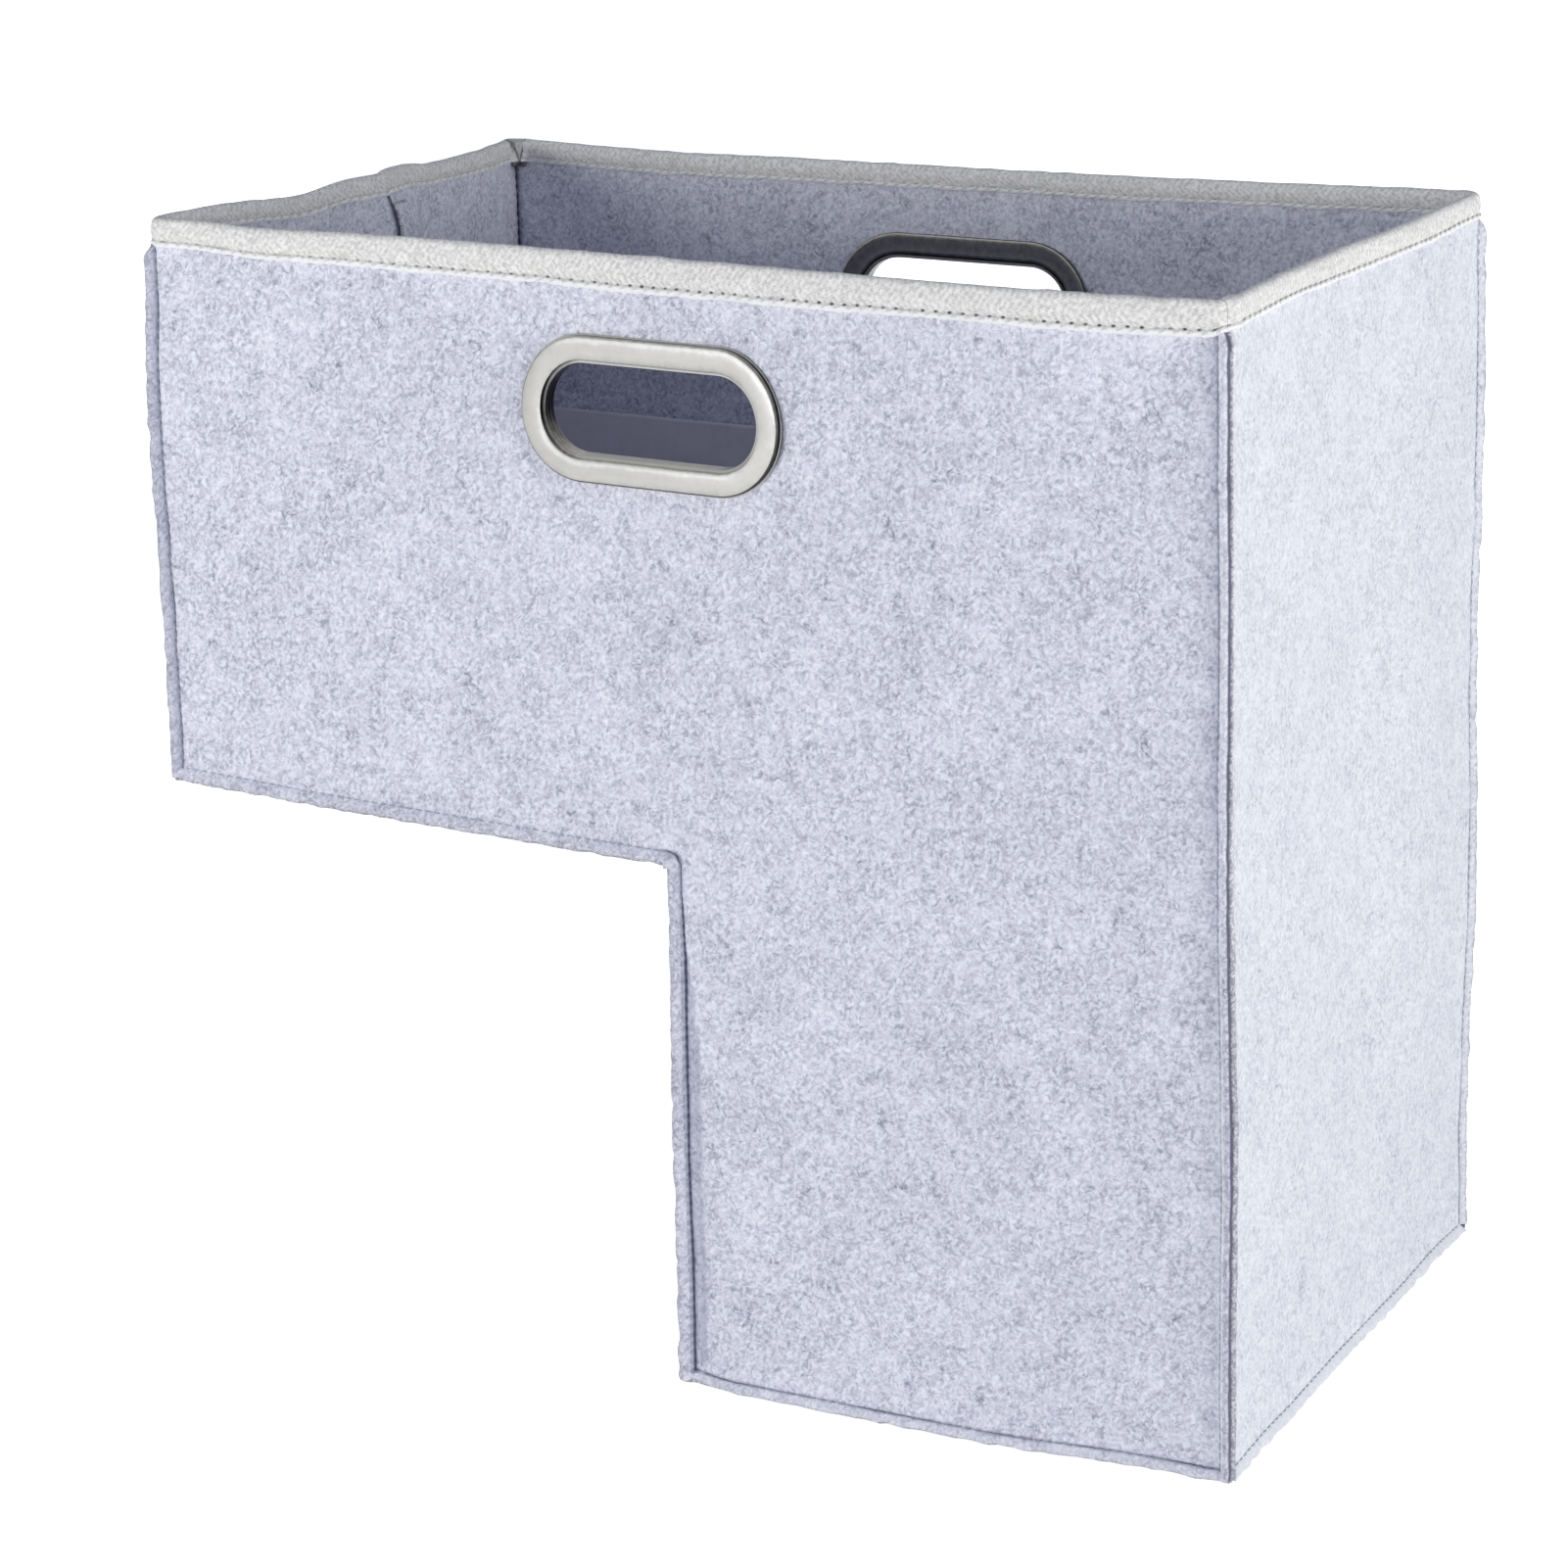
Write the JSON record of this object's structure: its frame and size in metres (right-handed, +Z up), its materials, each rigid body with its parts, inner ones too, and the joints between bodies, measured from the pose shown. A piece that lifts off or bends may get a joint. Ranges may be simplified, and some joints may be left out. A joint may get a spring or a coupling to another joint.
{
  "type": "stair basket",
  "caption": "L-shaped felt storage basket that sits over a stair step, with taped rim, oval steel hand holes and creased ends that fold it flat.",
  "frame": {"origin": "on the floor, under the middle of the basket's bounding box", "axes": "+Z up, +X along the length from the overhang towards the deep end, -Y towards the front wall"},
  "size_m": [0.3996, 0.2316, 0.388],
  "materials": {
    "felt": "matt needled felt, pale grey mottled with darker fibres",
    "rim_tape": "matt off-white twill tape, stitched",
    "handle_steel": "satin nickel-plated steel",
    "liner_board": "smooth matt dark grey board"
  },
  "bodies": {
    "back": {"back_panel": "felt", "back_left_seam": "felt", "back_right_seam": "felt", "back_rim_binding": "rim_tape", "back_handle_outer_ring": "handle_steel", "back_handle_inner_ring": "handle_steel", "back_liner_board": "liner_board", "step_floor": "felt", "riser": "felt", "bottom": "felt", "left_bottom_seam": "felt", "right_bottom_seam": "felt"},
    "left_rear": {"left_end_rear": "felt", "left_end_rear_binding": "rim_tape"},
    "left_front": {"left_end_front": "felt", "left_end_front_binding": "rim_tape"},
    "front": {"front_panel": "felt", "front_left_seam": "felt", "front_right_seam": "felt", "front_rim_binding": "rim_tape", "front_handle_outer_ring": "handle_steel", "front_handle_inner_ring": "handle_steel", "front_liner_board": "liner_board"},
    "right_rear": {"right_end_rear": "felt", "right_end_rear_binding": "rim_tape"},
    "right_front": {"right_end_front": "felt", "right_end_front_binding": "rim_tape"}
  },
  "joints": [
    {"name": "fold_flat", "type": "hinge", "parent": "back", "child": "left_rear", "pos_m": [-0.1936, 0.1084, 0], "axis": [0, 0, 1], "range_deg": [0, 70], "deforming": ["step_floor", "riser", "bottom", "left_bottom_seam", "right_bottom_seam"]},
    {"name": "left_crease", "type": "hinge", "parent": "left_rear", "child": "left_front", "pos_m": [-0.195, 0, 0], "axis": [0, 0, 1], "range_deg": [-140, 0]},
    {"name": "front_left_corner", "type": "hinge", "parent": "left_front", "child": "front", "pos_m": [-0.1936, -0.1084, 0], "axis": [0, 0, 1], "range_deg": [0, 70]},
    {"name": "back_right_corner", "type": "hinge", "parent": "back", "child": "right_rear", "pos_m": [0.1936, 0.1084, 0], "axis": [0, 0, 1], "range_deg": [-70, 0]},
    {"name": "right_crease", "type": "hinge", "parent": "right_rear", "child": "right_front", "pos_m": [0.195, 0, 0], "axis": [0, 0, 1], "range_deg": [0, 140]}
  ],
  "couplings": [
    {"joint": "left_crease", "follows": "fold_flat", "ratio": -2},
    {"joint": "front_left_corner", "follows": "fold_flat", "ratio": 1},
    {"joint": "back_right_corner", "follows": "fold_flat", "ratio": -1},
    {"joint": "right_crease", "follows": "fold_flat", "ratio": 2}
  ]
}
